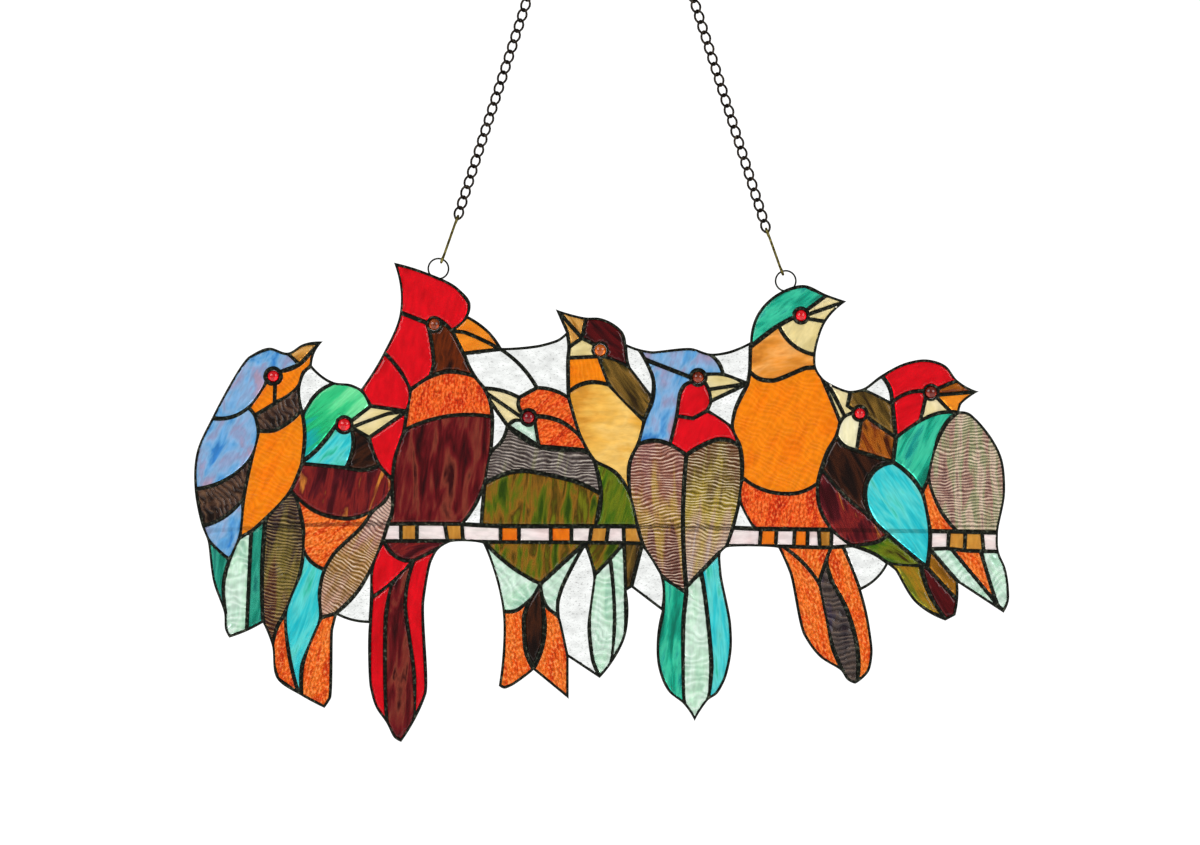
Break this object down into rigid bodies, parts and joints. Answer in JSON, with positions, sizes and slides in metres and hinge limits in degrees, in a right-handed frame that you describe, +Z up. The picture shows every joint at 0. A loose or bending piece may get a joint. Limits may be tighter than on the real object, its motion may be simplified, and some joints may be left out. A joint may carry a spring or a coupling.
{
  "type": "stained glass panel",
  "caption": "Leaded stained glass panel of songbirds side by side on a tiled perch, hung by link chains from a ring.",
  "frame": {"origin": "inside top of the hanging ring", "axes": "+X to the viewer's right, +Z up, the panel's front faces -Y"},
  "size_m": [0.6103, 0.0094, 0.7647],
  "materials": {
    "blue_glass": "streaky opalescent, smooth",
    "orange_glass": "hammered cathedral",
    "turquoise_glass": "streaky, smooth",
    "brown_glass": "rippled, streaky",
    "red_glass": "smooth and streaky",
    "maroon_glass": "streaky",
    "amber_glass": "streaky opalescent",
    "mint_glass": "rippled opalescent",
    "tile_glass": "opalescent, with orange and amber tiles",
    "clear_glass": "hammered, colourless",
    "eye_jewels": "pressed, polished domes",
    "leading": "blackened solder with a dull sheen",
    "chain": "gun-metal plated",
    "hooks": "dull, drawn wire",
    "bar": "blackened wire"
  },
  "bodies": {
    "root": {"bluebird_head": "blue_glass", "bluebird_wing": "blue_glass", "bluebird_breast": "orange_glass", "bluebird_tail": "turquoise_glass", "green_bird_head": "turquoise_glass", "green_bird_body": "brown_glass", "green_bird_tail": "orange_glass", "cardinal_head": "red_glass", "cardinal_body": "red_glass", "cardinal_tail": "red_glass", "orange_bird_head": "orange_glass", "orange_bird_body": "brown_glass", "orange_bird_tail": "orange_glass", "maroon_bird_head": "maroon_glass", "maroon_bird_wing": "brown_glass", "maroon_bird_body": "amber_glass", "maroon_bird_tail": "mint_glass", "crested_bird_head": "blue_glass", "crested_bird_wings": "brown_glass", "crested_bird_tail": "turquoise_glass", "teal_bird_body": "orange_glass", "teal_bird_tail": "orange_glass", "brown_bird_body": "brown_glass", "brown_bird_wing": "turquoise_glass", "brown_bird_tail": "amber_glass", "red_bird_head": "red_glass", "red_bird_wing": "brown_glass", "red_bird_tail": "mint_glass", "perch_left": "tile_glass", "perch_right": "tile_glass", "perch_end": "tile_glass", "clear_pane_1": "clear_glass", "clear_pane_2": "clear_glass", "clear_pane_3": "clear_glass", "clear_pane_4": "clear_glass", "clear_pane_5": "clear_glass", "clear_pane_6": "clear_glass", "clear_pane_7": "clear_glass", "clear_pane_8": "clear_glass", "clear_pane_9": "clear_glass", "clear_pane_10": "clear_glass", "clear_pane_11": "clear_glass", "clear_pane_12": "clear_glass", "clear_pane_13": "clear_glass", "bluebird_eye": "eye_jewels", "green_bird_eye": "eye_jewels", "cardinal_eye": "eye_jewels", "orange_bird_eye": "eye_jewels", "maroon_bird_eye": "eye_jewels", "crested_bird_eye": "eye_jewels", "teal_bird_eye": "eye_jewels", "brown_bird_eye": "eye_jewels", "red_bird_eye": "eye_jewels", "leading": "leading", "left_chain": "chain", "right_chain": "chain", "left_hook": "hooks", "right_hook": "hooks", "hanging_ring": "chain", "back_bar": "bar"}
  },
  "joints": []
}
